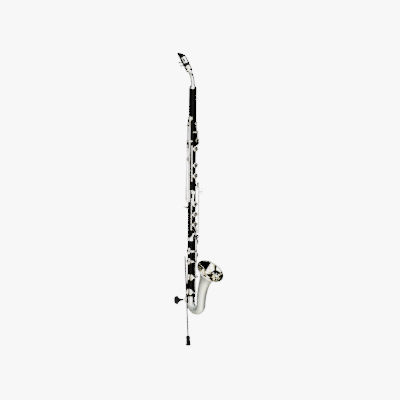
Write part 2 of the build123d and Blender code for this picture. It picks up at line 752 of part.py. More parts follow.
# ---------------------------------------------------------------- mouthpiece, reed and ligature
def mouthpiece():
    tenon = RECEIVER_BORE_R - CORK_THICK - FIT
    reed_floor = TABLE_DEPTH - 1.2
    with BuildPart() as piece:
        along_mouth(
            (
                (-MOUTHPIECE_TENON_LENGTH, 0),
                (-MOUTHPIECE_TENON_LENGTH, RECEIVER_BORE_R - FIT),
                (-MOUTHPIECE_TENON_LENGTH + 2, RECEIVER_BORE_R - FIT),
                (-MOUTHPIECE_TENON_LENGTH + 2, tenon),
                (-2, tenon),
                (-2, RECEIVER_BORE_R - FIT),
                (0, RECEIVER_BORE_R - FIT),
                (0, MOUTHPIECE_R - 0.6),
                (0.6, MOUTHPIECE_R),
                (MOUTHPIECE_LENGTH, MOUTHPIECE_R),
                (MOUTHPIECE_LENGTH, 0),
            )
        )
        with BuildSketch(MOUTH_SIDE) as outline:  # the reed's flat table, with a heel
            with BuildLine():
                Polyline(
                    (TABLE_START, TABLE_DEPTH),
                    (MOUTHPIECE_LENGTH + 1, TABLE_DEPTH),
                    (MOUTHPIECE_LENGTH + 1, 20),
                    (TABLE_START - 4, 20),
                    (TABLE_START - 4, MOUTHPIECE_R),
                    close=True,
                )
            make_face()
        extrude(outline.sketch, amount=20, both=True, mode=Mode.SUBTRACT)
        with BuildSketch(MOUTH_SIDE) as outline:  # the beak
            with BuildLine():
                Line((BEAK_START, -MOUTHPIECE_R - 0.1), (MOUTHPIECE_LENGTH + 1, -20))
                Line((MOUTHPIECE_LENGTH + 1, -20), (MOUTHPIECE_LENGTH + 1, TABLE_DEPTH - TIP_THICK + 0.4))
                ThreePointArc(
                    (MOUTHPIECE_LENGTH + 1, TABLE_DEPTH - TIP_THICK + 0.4),
                    ((BEAK_START + MOUTHPIECE_LENGTH) / 2, -3.4),
                    (BEAK_START, -MOUTHPIECE_R - 0.1),
                )
            make_face()
        extrude(outline.sketch, amount=20, both=True, mode=Mode.SUBTRACT)
        for side in (-1, 1):  # the sides draw in towards the tip
            with BuildSketch(MOUTH_TOP) as outline:
                with BuildLine():
                    Polyline(
                        (BEAK_START - 4, side * (MOUTHPIECE_R + 0.1)),
                        (MOUTHPIECE_LENGTH - 3, side * (TIP_HALF_WIDTH + 0.5)),
                        (MOUTHPIECE_LENGTH + 0.01, side * (TIP_HALF_WIDTH - 2.6)),
                        (MOUTHPIECE_LENGTH + 0.01, side * 20),
                        (BEAK_START - 4, side * 20),
                        close=True,
                    )
                make_face()
            extrude(outline.sketch, amount=20, both=True, mode=Mode.SUBTRACT)
        with BuildSketch(MOUTH.offset(-MOUTHPIECE_TENON_LENGTH - 1)) as outline:
            Circle(MOUTHPIECE_BORE_R - 0.9)
        extrude(outline.sketch, amount=MOUTHPIECE_TENON_LENGTH + 21, mode=Mode.SUBTRACT)
        with BuildSketch(MOUTH_SIDE) as outline:  # the chamber and the window under the reed
            with BuildLine():
                Polyline(
                    (16, -3.2),
                    (28, -3.2),
                    (MOUTHPIECE_LENGTH - 5, TABLE_DEPTH - 2.2),
                    (MOUTHPIECE_LENGTH - 3, TABLE_DEPTH + 1),
                    (26, TABLE_DEPTH + 1),
                    (22, reed_floor - 3),
                    (16, reed_floor - 3),
                    close=True,
                )
            make_face()
        extrude(outline.sketch, amount=4.6, both=True, mode=Mode.SUBTRACT)
    return piece.part


def mouthpiece_cork():
    tenon = RECEIVER_BORE_R - CORK_THICK - FIT
    with BuildPart() as cork:
        with BuildSketch(MOUTH.offset(-MOUTHPIECE_TENON_LENGTH + 2)) as outline:
            Circle(RECEIVER_BORE_R - FIT)
            Circle(tenon, mode=Mode.SUBTRACT)
        extrude(outline.sketch, amount=MOUTHPIECE_TENON_LENGTH - 4)
    return cork.part


def reed():
    start = TABLE_START + 0.5
    end = MOUTHPIECE_LENGTH - 0.4
    with BuildPart() as cane:
        with BuildSketch(MOUTH.offset(start)) as outline:
            Circle(MOUTHPIECE_R)
            Rectangle(2 * REED_HALF_WIDTH, 40, mode=Mode.INTERSECT)
            with Locations((0, TABLE_DEPTH - 20)):
                Rectangle(40, 40, mode=Mode.SUBTRACT)
        extrude(outline.sketch, amount=end - start)
        with BuildSketch(MOUTH_SIDE) as outline:  # the cut that thins the reed to its tip
            with BuildLine():
                Line((BEAK_START + 2, 12), (end + 1, 12))
                Line((end + 1, 12), (end + 1, TABLE_DEPTH + REED_TIP_THICK))
                ThreePointArc(
                    (end + 1, TABLE_DEPTH + REED_TIP_THICK),
                    ((BEAK_START + end) / 2, TABLE_DEPTH + REED_TIP_THICK + 0.9),
                    (BEAK_START + 2, 12),
                )
            make_face()
        extrude(outline.sketch, amount=20, both=True, mode=Mode.SUBTRACT)
    return cane.part


LIGATURE_SCREWS = (LIGATURE_START + 4.2, LIGATURE_START + LIGATURE_WIDTH - 4.2)
LUG_Y = MOUTHPIECE_R + 2.6  # the screws' distance from the mouthpiece's axis
LUG_LENGTH = 4.0
LUG_GAP = 3.0  # half the gap between the two rows of lugs


def ligature():
    """The band with its windows, and four lugs for the two screws."""
    inner = MOUTHPIECE_R + 0.02
    outer = inner + LIGATURE_THICK
    with BuildPart() as band:
        with BuildSketch(MOUTH.offset(LIGATURE_START)) as outline:
            Circle(outer)
            Circle(inner, mode=Mode.SUBTRACT)
            with Locations((0, 12)):
                Rectangle(2 * LUG_GAP, 8, mode=Mode.SUBTRACT)
        extrude(outline.sketch, amount=LIGATURE_WIDTH)
        for place in LIGATURE_SCREWS:
            for side in (-1, 1):
                with BuildSketch(Plane(origin=MOUTH.from_local_coords(Vector(side * LUG_GAP, LUG_Y, place)),
                                       x_dir=NECK_ALONG, z_dir=(side, 0, 0))) as outline:
                    Circle(2.5)
                    with Locations((0, 1.6) if side < 0 else (0, -1.6)):
                        Rectangle(4.2, 3.2)
                extrude(outline.sketch, amount=LUG_LENGTH)
        with BuildSketch(MOUTH.offset(LIGATURE_START - 1)) as outline:
            Circle(inner)
        extrude(outline.sketch, amount=LIGATURE_WIDTH + 2, mode=Mode.SUBTRACT)
        for turn_by in (-100, -50, 0, 50, 100):  # windows
            middle = MOUTH.from_local_coords(Vector(0, 0, LIGATURE_START + LIGATURE_WIDTH / 2))
            look = MOUTH.from_local_coords(Vector(sin(radians(turn_by)), -cos(radians(turn_by)), 0)) - NECK_END
            with BuildSketch(Plane(origin=middle, x_dir=NECK_ALONG, z_dir=look)) as outline:
                RectangleRounded(LIGATURE_WIDTH - 8, 6.0, 2.9)
            extrude(outline.sketch, amount=20, mode=Mode.SUBTRACT)
        for place in LIGATURE_SCREWS:
            centre = MOUTH.from_local_coords(Vector(-20, LUG_Y, place))
            with BuildSketch(Plane(origin=centre, x_dir=NECK_ALONG, z_dir=(1, 0, 0))) as outline:
                Circle(LIGATURE_SCREW_R + FIT)
            extrude(outline.sketch, amount=40, mode=Mode.SUBTRACT)
    return band.part


def ligature_screw(place):
    """A thumb screw through a pair of lugs, with a knurled head on the player's right."""
    reach = LUG_GAP + LUG_LENGTH
    centre = MOUTH.from_local_coords(Vector(-reach - 0.3, LUG_Y, place))
    with BuildPart() as screw:
        with BuildSketch(Plane(origin=centre, x_dir=NECK_ALONG, z_dir=(1, 0, 0))) as outline:
            Circle(LIGATURE_SCREW_R)
        extrude(outline.sketch, amount=2 * reach + 1.6)
        with BuildSketch(Plane(origin=centre, x_dir=NECK_ALONG, z_dir=(-1, 0, 0))) as outline:
            Circle(1.9)
        extrude(outline.sketch, amount=1.2)
        with BuildSketch(Plane(origin=centre - Vector(1.2, 0, 0), x_dir=NECK_ALONG, z_dir=(-1, 0, 0))) as outline:
            Circle(LIGATURE_KNOB_R)
            with PolarLocations(LIGATURE_KNOB_R + 0.5, 14):
                Circle(0.85, mode=Mode.SUBTRACT)
        extrude(outline.sketch, amount=3.4)
    return screw.part


# ---------------------------------------------------------------- bell
BOW_MIDDLE_Y = AXIS_Y - BOW_OFFSET / 2
BELL_START = Vector(0, AXIS_Y - BOW_OFFSET, BOW_TOP)
BELL_ARC_R = BELL_CHORD / 2 / sin(radians(BELL_TILT / 2))


def bow_place(share):
    """Centre and direction on the U bend, from the body's side to the bell's side."""
    angle = radians(180 * share)
    radius = BOW_OFFSET / 2
    centre = Vector(0, BOW_MIDDLE_Y + radius * cos(angle), BOW_TOP - radius * sin(angle))
    return centre, Vector(0, -sin(angle), -cos(angle))


def bell_place(share):
    """Centre and direction on the bell's own bend, from the bow to the mouth."""
    angle = radians(BELL_TILT * share)
    centre = BELL_START + Vector(0, -BELL_ARC_R * (1 - cos(angle)), BELL_ARC_R * sin(angle))
    return centre, Vector(0, -sin(angle), cos(angle))


def bell_radius(share):
    """Outer radius of the bell along its bend, opening fast near the mouth."""
    flare = BELL_MOUTH_R - BOW_END_R - 4.5
    return BOW_END_R + 4.5 * share + flare * share**6


def circles(inset, over=0.0):
    """The bell's cross sections as (centre, direction, radius), drawn in by the wall."""
    rows = []
    for step in range(7):
        centre, along = bow_place(step / 6)
        rows.append((centre, along, BOW_START_R + (BOW_END_R - BOW_START_R) * step / 6 - inset))
    for share in (0.2, 0.4, 0.55, 0.68, 0.78, 0.86, 0.92, 0.97, 1.0):
        centre, along = bell_place(share)
        rows.append((centre, along, bell_radius(share) - inset))
    first, last = rows[0], rows[-1]
    rows[0] = (first[0] - first[1] * over, first[1], first[2])
    rows[-1] = (last[0] + last[1] * over, last[1], last[2] + over * 1.5)
    return rows


def bell():
    """The U bend and the bell in one, as a thin shell."""
    with BuildPart() as horn:
        for inset, over, mode in ((0, 0.0, Mode.ADD), (BELL_WALL, 0.4, Mode.SUBTRACT)):
            faces = []
            for centre, along, radius in circles(inset, over):
                with BuildSketch(Plane(origin=centre, x_dir=(1, 0, 0), z_dir=along)) as outline:
                    Circle(radius)
                faces.append(outline.sketch)
            loft(sections=faces, mode=mode)
    return horn.part


def bell_rim():
    """The rolled bead round the bell's mouth."""
    centre, along = bell_place(1)
    with BuildPart() as bead:
        with BuildSketch(Plane(origin=centre, x_dir=(1, 0, 0), z_dir=along.cross(Vector(1, 0, 0)))) as outline:
            with Locations((BELL_MOUTH_R - 0.6, 0)):
                Circle(BELL_RIM_R)
        revolve(outline.sketch, axis=Axis(centre, along))
    return bead.part


def bell_collar():
    """The bell's socket, which holds the lower joint's tenon, with two beads."""
    low = BOW_TOP
    with BuildPart() as collar:
        turned(
            (
                (BELL_TENON_R, BODY_BOTTOM),
                (BELL_COLLAR_R, BODY_BOTTOM),
                (BELL_COLLAR_R, BODY_BOTTOM - 3.5),
                (BELL_COLLAR_R - 0.9, BODY_BOTTOM - 4.5),
                (BELL_COLLAR_R - 0.9, low + 4),
                (BELL_COLLAR_R, low + 3),
                (BELL_COLLAR_R, low - 0.5),
                (BOW_START_R, low - 0.5),
                (BOW_START_R, low),
                (BOW_START_R - BELL_WALL, low),
                (BELL_TENON_R - 0.6, BODY_BOTTOM - BELL_TENON_LENGTH),
                (BELL_TENON_R, BODY_BOTTOM - BELL_TENON_LENGTH),
            )
        )
    return collar.part


# ---------------------------------------------------------------- floor peg
PEG_LEAN = radians(PEG_TILT)
PEG_ALONG = Vector(0, sin(PEG_LEAN), cos(PEG_LEAN))
PEG_AXIS = Axis((0, 0, 0), PEG_ALONG)
PEG_SIDE = Plane(origin=(0, 0, 0), x_dir=PEG_ALONG, z_dir=(1, 0, 0))
BRACKET_PLACE = 156.0  # distance of the clamp's middle from the floor, along the peg
SCREW_OUT = Vector(-cos(radians(40)), sin(radians(40)) * cos(PEG_LEAN), -sin(radians(40)) * sin(PEG_LEAN))


def across_peg(place):
    """Plane square to the peg, with x to the player's left."""
    return Plane(origin=PEG_ALONG * place, x_dir=(1, 0, 0), z_dir=PEG_ALONG)


def clamp_place(out):
    """Plane square to the clamp screw, a distance out from the peg's axis."""
    return Plane(origin=PEG_ALONG * BRACKET_PLACE + SCREW_OUT * out, x_dir=PEG_ALONG, z_dir=SCREW_OUT)


def peg_rod():
    with BuildPart() as rod:
        with BuildSketch(across_peg(PEG_FOOT_HEIGHT - PEG_SUNK)) as outline:
            Circle(PEG_R)
        extrude(outline.sketch, amount=PEG_LENGTH - PEG_FOOT_HEIGHT + PEG_SUNK)
        fillet(rod.edges().filter_by(GeomType.CIRCLE).sort_by(PEG_AXIS)[-1], 1.2)
    return rod.part


def peg_foot():
    """The rubber tip, with a flared sole and a ring round its top."""
    top = PEG_FOOT_HEIGHT
    with BuildPart() as foot:
        with BuildSketch(PEG_SIDE) as outline:
            with BuildLine():
                Polyline(
                    (0, 0),
                    (0, PEG_FOOT_R - 0.8),
                    (1.2, PEG_FOOT_R),
                    (3.5, PEG_FOOT_R),
                    (5.5, PEG_FOOT_R - 1.4),
                    (top - 9, PEG_FOOT_R - 2.1),
                    (top - 7.5, PEG_FOOT_R - 1.3),
                    (top - 2, PEG_FOOT_R - 1.5),
                    (top, PEG_FOOT_R - 3.2),
                    (top, PEG_R),
                    (top - PEG_SUNK, PEG_R),
                    (top - PEG_SUNK, 0),
                    close=True,
                )
            make_face()
        revolve(outline.sketch, axis=PEG_AXIS)
    return foot.part


def peg_bracket():
    """The sleeve behind the bell's socket that holds the peg, with the boss of the clamp screw."""
    with BuildPart() as bracket:
        with BuildSketch(across_peg(BRACKET_PLACE - BRACKET_HEIGHT / 2)) as outline:
            Circle(BRACKET_R)
            with Locations((0, -BRACKET_R)):
                Rectangle(8.4, 9)
        extrude(outline.sketch, amount=BRACKET_HEIGHT)
        with BuildSketch(clamp_place(0)) as outline:
            Circle(4.4)
        extrude(outline.sketch, amount=SCREW_REACH - 1)
        with BuildSketch(across_peg(BRACKET_PLACE - 30)) as outline:
            Circle(PEG_R + FIT)
        extrude(outline.sketch, amount=60, mode=Mode.SUBTRACT)
        with BuildSketch(clamp_place(0)) as outline:
            Circle(SCREW_R + FIT)
        extrude(outline.sketch, amount=30, mode=Mode.SUBTRACT)
        with BuildSketch(level(BOW_TOP - 20)) as outline:
            Circle(BELL_COLLAR_R)
        extrude(outline.sketch, amount=60, mode=Mode.SUBTRACT)
    return bracket.part


def clamp_screw():
    """The steel screw that presses on the peg."""
    with BuildPart() as screw:
        with BuildSketch(clamp_place(PEG_R + 0.3)) as outline:
            Circle(SCREW_R)
        extrude(outline.sketch, amount=KNOB_START + KNOB_THICK - 3 - PEG_R - 0.3)
    return screw.part


def clamp_knob():
    """The lobed knob on a long cone."""
    with BuildPart() as knob:
        with BuildSketch(clamp_place(KNOB_START)) as outline:
            Circle(KNOB_R)
            with PolarLocations(KNOB_R + 1.6, KNOB_LOBES):
                Circle(3.2, mode=Mode.SUBTRACT)
        extrude(outline.sketch, amount=KNOB_THICK)
        with BuildSketch(Plane(origin=PEG_ALONG * BRACKET_PLACE, x_dir=SCREW_OUT, z_dir=SCREW_OUT.cross(PEG_ALONG))) as outline:
            with BuildLine():
                Line((SCREW_REACH, 0), (SCREW_REACH, 3.4))
                ThreePointArc((SCREW_REACH, 3.4), (KNOB_START - 7, 5.6), (KNOB_START, KNOB_R - 2.4))
                Line((KNOB_START, KNOB_R - 2.4), (KNOB_START + KNOB_THICK, 6))
                Line((KNOB_START + KNOB_THICK, 6), (KNOB_START + KNOB_THICK, 0))
                Line((KNOB_START + KNOB_THICK, 0), (SCREW_REACH, 0))
            make_face()
        revolve(outline.sketch, axis=Axis(PEG_ALONG * BRACKET_PLACE, SCREW_OUT))
        with BuildSketch(clamp_place(0)) as outline:
            Circle(SCREW_R)
        extrude(outline.sketch, amount=KNOB_START + KNOB_THICK - 3, mode=Mode.SUBTRACT)
    return knob.part


# ---------------------------------------------------------------- fittings on the back
def saddle(height, tall, half_angle, thick):
    """Adds a plate that hugs the back of the body."""
    with BuildSketch(level(height - tall / 2)) as outline:
        Circle(BODY_R + thick)
        Circle(BODY_R, mode=Mode.SUBTRACT)
        reach = 2 * BODY_R
        with BuildLine():
            side = reach * tan(radians(half_angle))
            Polyline((0, 0), (side, reach), (-side, reach), close=True)
        make_face(mode=Mode.INTERSECT)
    extrude(outline.sketch, amount=tall)


def thumb_rest():
    """The hook for the right thumb."""
    with BuildPart() as rest:
        saddle(THUMB_REST_Z, 30, 28, 1.2)
        with BuildSketch(section_at(180, THUMB_REST_Z)) as outline:
            with BuildLine():
                Polyline((BODY_R + 0.4, 4), (BODY_R + 0.4, 0), (BODY_R + 19, 3.2), (BODY_R + 20, 5.2), (BODY_R + 18.4, 5.6),
                         close=True)
            make_face()
        extrude(outline.sketch, amount=7, both=True)
    return rest.part


def strap_ring():
    """The ring for the neck strap, on its own saddle."""
    centre = BODY_R + 1.0 + STRAP_RING_R
    with BuildPart() as ring_piece:
        saddle(STRAP_RING_Z - 16, 20, 24, 1.2)
        with BuildSketch(section_at(180, STRAP_RING_Z - 16)) as outline:
            with Locations((centre, 0)):
                Circle(STRAP_RING_R)
            with Locations((BODY_R + 2, 0)):
                Rectangle(3.6, 11)
            with Locations((centre, 0)):
                Circle(STRAP_HOLE_R, mode=Mode.SUBTRACT)
        extrude(outline.sketch, amount=STRAP_RING_THICK / 2, both=True)
        with BuildSketch(level(STRAP_RING_Z - 60)) as outline:
            Circle(BODY_R)
        extrude(outline.sketch, amount=100, mode=Mode.SUBTRACT)
    return ring_piece.part


if __name__ == "__main__":
    os.makedirs("parts", exist_ok=True)
    for name, key in KEYS.items():
        metal, pad = hinged_key(key)
        if key.get("open"):
            metal, pad = stand_open(metal, key), stand_open(pad, key)
        finish(metal, name)
        finish(pad, name.replace("_key", "_pad"))
    for name, key in LEVERS.items():
        moved = KEYS[key["moves"]]
        finish(lever(key).rotate(hinge_axis(key), -opening_sign(moved) * turn(moved)), name)
    for name, key in ROCKERS.items():
        metal, pad = rocking_key(key)
        finish(metal, name)
        finish(pad, name.replace("_key", "_pad"))
    for name, make in {
        "upper_joint": upper_joint,
        "lower_joint": lower_joint,
        "body_rings": body_rings,
        "tenon_corks": tenon_corks,
        "key_posts": key_posts,
        "hinge_rods": hinge_rods,
        "neck_tube": neck_tube,
        "neck_collar": neck_collar,
        "neck_cork": neck_cork,
        "neck_receiver": neck_receiver,
        "mouthpiece": mouthpiece,
        "mouthpiece_cork": mouthpiece_cork,
        "reed": reed,
        "ligature": ligature,
        "bell": bell,
        "bell_rim": bell_rim,
        "bell_collar": bell_collar,
        "peg_rod": peg_rod,
        "peg_foot": peg_foot,
        "peg_bracket": peg_bracket,
        "clamp_screw": clamp_screw,
        "clamp_knob": clamp_knob,
        "thumb_rest": thumb_rest,
        "strap_ring": strap_ring,
    }.items():
        finish(make(), name)
    for name, place in zip(("ligature_screw_lower", "ligature_screw_upper"), LIGATURE_SCREWS):
        finish(ligature_screw(place), name)
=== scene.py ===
"""Looks for the alto clarinet: camera, light, materials and the fine pieces that CAD leaves plain."""

import json
import math

import bmesh
import bpy
from mathutils import Matrix, Quaternion, Vector


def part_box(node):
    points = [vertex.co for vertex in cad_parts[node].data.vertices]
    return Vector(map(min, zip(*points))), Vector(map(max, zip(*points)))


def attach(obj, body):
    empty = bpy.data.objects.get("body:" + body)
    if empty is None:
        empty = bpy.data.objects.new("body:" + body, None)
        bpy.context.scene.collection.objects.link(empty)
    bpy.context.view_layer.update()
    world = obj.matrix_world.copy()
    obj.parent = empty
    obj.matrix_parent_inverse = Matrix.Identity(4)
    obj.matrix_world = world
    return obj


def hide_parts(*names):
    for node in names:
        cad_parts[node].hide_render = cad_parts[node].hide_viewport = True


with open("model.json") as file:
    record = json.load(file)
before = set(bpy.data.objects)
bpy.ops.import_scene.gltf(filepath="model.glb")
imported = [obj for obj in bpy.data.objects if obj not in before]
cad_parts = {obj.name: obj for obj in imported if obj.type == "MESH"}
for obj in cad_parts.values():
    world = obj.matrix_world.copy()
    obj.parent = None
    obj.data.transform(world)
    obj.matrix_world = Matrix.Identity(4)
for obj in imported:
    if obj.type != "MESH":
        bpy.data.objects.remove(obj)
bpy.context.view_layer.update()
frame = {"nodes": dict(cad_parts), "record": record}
nodes = frame["nodes"]
record = frame["record"]
joints = {joint["name"]: joint for joint in record["behaviour"]["joints"]}

# The instrument's frame: the body's axis is upright, -Y is the front and -X the player's right.
MM = 0.001
BODY_AXIS = Vector((0, -9.3, 0)) * MM
UP = Vector((0, 0, 1))


def outward(angle):
    """Unit vector from the body's axis: 0 is the front, 90 the player's right."""
    return Vector((-math.sin(math.radians(angle)), -math.cos(math.radians(angle)), 0))


# ---------------------------------------------------------------- camera
CAMERA_ANGLE = 45.0  # where the camera stands round the body
CAMERA_DISTANCE = 2.7
CAMERA_HEIGHT = 0.8925
CAMERA_PITCH = math.radians(8.43)
CAMERA_YAW = math.radians(0.57)
CAMERA_ROLL = math.radians(0.66)
CAMERA_LENS = 75.6
SENSOR_WIDTH = 36
CAMERA_REACH = 50


def add_camera():
    """The camera at the front quarter of the instrument, tilted a little down."""
    data = bpy.data.cameras.new("camera")
    data.lens = CAMERA_LENS
    data.sensor_width = SENSOR_WIDTH
    data.clip_end = CAMERA_REACH
    camera = bpy.data.objects.new("camera", data)
    bpy.context.scene.collection.objects.link(camera)
    place = BODY_AXIS + outward(CAMERA_ANGLE) * CAMERA_DISTANCE
    turn = Matrix.Rotation(-math.radians(CAMERA_ANGLE) - CAMERA_YAW, 4, "Z")
    tilt = Matrix.Rotation(math.pi / 2 - CAMERA_PITCH, 4, "X")
    roll = Matrix.Rotation(CAMERA_ROLL, 4, "Z")
    camera.matrix_world = Matrix.Translation((place.x, place.y, CAMERA_HEIGHT)) @ turn @ tilt @ roll
    bpy.context.scene.camera = camera


# ---------------------------------------------------------------- stage and light
BACKDROP = 9.0  # brightness of the white that the camera sees
STUDIO = 4.0  # brightness of the tent that lights the metal
WARM = (0.93, 0.86, 0.6)  # what the metal mirrors from below
FLOOR_SIZE = 30
FLOOR_HEIGHT = -0.0006  # just under the lowest edge of the rubber tip


# Stops of the tent's light: from behind to the front, from side to side, and from below to above.
BEHIND = ((-1, 0.0), (0.1, 0.0), (0.16, 1.1), (1, 1.2))
FLAGS = (
    *((-1, 0.0), (-0.5, 0.0), (-0.44, 1.0), (-0.1, 1.3)),
    *((0.3, 1.0), (0.36, 0.0), (0.6, 0.0), (0.66, 1.1), (0.86, 0.0)),
)
BANDS = (
    *((-1, WARM), (-0.5, WARM), (-0.3, 1.0), (0.5, 1.0)),
    *((0.54, 0.0), (0.72, 0.0), (0.76, 1.3), (1, 1.3)),
)


def camera_ray_mix(tree, seen, unseen, output):
    """Shows one shader to the camera and another one to every other ray."""
    path = tree.nodes.new("ShaderNodeLightPath")
    mix = tree.nodes.new("ShaderNodeMixShader")
    tree.links.new(path.outputs["Is Camera Ray"], mix.inputs["Fac"])
    tree.links.new(unseen, mix.inputs[1])
    tree.links.new(seen, mix.inputs[2])
    tree.links.new(mix.outputs["Shader"], output)


def add_floor():
    """A pale floor that only the camera sees, so that the metal does not mirror it."""
    mesh = bpy.data.meshes.new("floor")
    signs = ((-1, -1), (1, -1), (1, 1), (-1, 1))
    corners = [(FLOOR_SIZE * x, FLOOR_SIZE * y, FLOOR_HEIGHT) for x, y in signs]
    mesh.from_pydata(corners, [], [(0, 1, 2, 3)])
    floor = bpy.data.objects.new("floor", mesh)
    bpy.context.scene.collection.objects.link(floor)
    material = bpy.data.materials.new("floor")
    material.use_nodes = True
    tree = material.node_tree
    tree.nodes.remove(tree.nodes["Principled BSDF"])
    glow = tree.nodes.new("ShaderNodeEmission")
    glow.inputs["Strength"].default_value = BACKDROP
    clear = tree.nodes.new("ShaderNodeBsdfTransparent")
    surface = tree.nodes["Material Output"].inputs["Surface"]
    camera_ray_mix(tree, glow.outputs["Emission"], clear.outputs["BSDF"], surface)
    mesh.materials.append(material)


def panel_ramp(tree, direction, along, stops):
    """Light of the tent by how far a direction points along a vector.

    A stop is (place from -1 to 1, brightness or colour).
    """
    dot = tree.nodes.new("ShaderNodeVectorMath")
    dot.operation = "DOT_PRODUCT"
    dot.inputs[1].default_value = along
    tree.links.new(direction, dot.inputs[0])
    spread = tree.nodes.new("ShaderNodeMapRange")
    spread.inputs["From Min"].default_value = -1
    spread.inputs["From Max"].default_value = 1
    tree.links.new(dot.outputs["Value"], spread.inputs["Value"])
    ramp = tree.nodes.new("ShaderNodeValToRGB")
    while len(ramp.color_ramp.elements) < len(stops):
        ramp.color_ramp.elements.new(0.5)
    for element, (place, level) in zip(ramp.color_ramp.elements, stops):
        element.position = (place + 1) / 2
        element.color = (*level, 1) if isinstance(level, tuple) else (level, level, level, 1)
    tree.links.new(spread.outputs["Result"], ramp.inputs["Fac"])
    return ramp.outputs["Color"]


def times(tree, first, second):
    """Product of two colours."""
    mix = tree.nodes.new("ShaderNodeMix")
    mix.data_type = "RGBA"
    mix.blend_type = "MULTIPLY"
    mix.inputs["Factor"].default_value = 1
    tree.links.new(first, mix.inputs[6])
    tree.links.new(second, mix.inputs[7])
    return mix.outputs[2]


def add_world():
    """A white tent with dark flags behind and beside the instrument, which draw the metal's edges."""
    world = bpy.data.worlds.new("studio")
    bpy.context.scene.world = world
    world.use_nodes = True
    tree = world.node_tree
    seen = tree.nodes["Background"]
    seen.inputs["Color"].default_value = (1, 1, 1, 1)
    seen.inputs["Strength"].default_value = BACKDROP
    tent = tree.nodes.new("ShaderNodeBackground")
    tent.inputs["Strength"].default_value = STUDIO
    direction = tree.nodes.new("ShaderNodeTexCoord").outputs["Generated"]
    front = outward(CAMERA_ANGLE)
    side = front.cross(UP)
    behind = panel_ramp(tree, direction, front, BEHIND)
    flags = panel_ramp(tree, direction, side, FLAGS)
    bands = panel_ramp(tree, direction, UP, BANDS)
    tree.links.new(times(tree, times(tree, behind, flags), bands), tent.inputs["Color"])
    output = tree.nodes["World Output"].inputs["Surface"]
    camera_ray_mix(tree, seen.outputs["Background"], tent.outputs["Background"], output)


# ---------------------------------------------------------------- material building blocks
NOISE = "ShaderNodeTexNoise"
CELLS = "ShaderNodeTexVoronoi"
WAVES = "ShaderNodeTexWave"
NOISE_RANGE = (0.3, 0.7)  # where nearly all of a noise pattern lies


def principled(name, color, metallic=0.0, specular=0.5):
    """A new material with its node tree and its shader."""
    material = bpy.data.materials.new(name)
    material.use_nodes = True
    shader = material.node_tree.nodes["Principled BSDF"]
    shader.inputs["Base Color"].default_value = (*color, 1)
    shader.inputs["Metallic"].default_value = metallic
    shader.inputs["Specular IOR Level"].default_value = specular
    return material, material.node_tree, shader


def pattern(tree, kind, scale, stretch=(1, 1, 1), **inputs):
    """A texture in the object's own frame, with scale in features per metre.

    A stretch under 1 draws it out along that axis and one over 1 squeezes it.
    """
    coordinates = tree.nodes.new("ShaderNodeTexCoord")
    mapping = tree.nodes.new("ShaderNodeMapping")
    mapping.inputs["Scale"].default_value = stretch
    texture = tree.nodes.new(kind)
    texture.inputs["Scale"].default_value = scale
    for socket, value in inputs.items():
        texture.inputs[socket].default_value = value
    tree.links.new(coordinates.outputs["Object"], mapping.inputs["Vector"])
    tree.links.new(mapping.outputs["Vector"], texture.inputs["Vector"])
    return texture.outputs[0]


def color_by(tree, shader, factor, stops):
    """Colours a shader by a pattern, from (place, colour) stops."""
    ramp = tree.nodes.new("ShaderNodeValToRGB")
    while len(ramp.color_ramp.elements) < len(stops):
        ramp.color_ramp.elements.new(0.5)
    for element, (place, color) in zip(ramp.color_ramp.elements, stops):
        element.position = place
        element.color = (*color, 1)
    tree.links.new(factor, ramp.inputs["Fac"])
    tree.links.new(ramp.outputs["Color"], shader.inputs["Base Color"])


def roughness_by(tree, shader, factor, low, high):
    """Varies a shader's roughness by a noise pattern."""
    spread = tree.nodes.new("ShaderNodeMapRange")
    spread.inputs["From Min"].default_value = NOISE_RANGE[0]
    spread.inputs["From Max"].default_value = NOISE_RANGE[1]
    spread.inputs["To Min"].default_value = low
    spread.inputs["To Max"].default_value = high
    tree.links.new(factor, spread.inputs["Value"])
    tree.links.new(spread.outputs["Result"], shader.inputs["Roughness"])


def relief(tree, shader, factor, depth, strength=0.5):
    """Raises a pattern by a depth in metres."""
    bump = tree.nodes.new("ShaderNodeBump")
    bump.inputs["Distance"].default_value = depth
    bump.inputs["Strength"].default_value = strength
    tree.links.new(factor, bump.inputs["Height"])
    tree.links.new(bump.outputs["Normal"], shader.inputs["Normal"])


# ---------------------------------------------------------------- materials
DARK_LINES = 0.62  # how bright the dark lines in ground steel are


def plate_metal(name, light, tarnish_and_painted_reflection, low, high, scratches=0.2):
    """Silver plate: hand-polished, with fine scratches and patches of warmer tarnish."""
    material, tree, shader = principled(name, light, metallic=1.0)
    patches = pattern(tree, NOISE, 95, Detail=5.0)
    color_by(tree, shader, patches, ((0.36, tarnish_and_painted_reflection), (0.52, light), (1.0, light)))
    roughness_by(tree, shader, pattern(tree, NOISE, 420, Detail=6.0), low, high)
    relief(tree, shader, pattern(tree, NOISE, 2600, (1, 1, 0.35), Detail=3.0), 0.04 * MM, scratches)
    return material


def spun_metal(name, light, tarnish_and_painted_reflection, low, high):
    """Silver plate with a satin finish and fine level lines."""
    material, tree, shader = principled(name, light, metallic=1.0)
    patches = pattern(tree, NOISE, 26, Detail=6.0)
    color_by(tree, shader, patches, ((0.3, tarnish_and_painted_reflection), (0.6, light), (1.0, light)))
    roughness_by(tree, shader, pattern(tree, NOISE, 160, (1, 1, 4), Detail=8.0), low, high)
    relief(tree, shader, pattern(tree, NOISE, 700, (0.2, 0.2, 3), Detail=4.0), 0.03 * MM, 0.25)
    return material


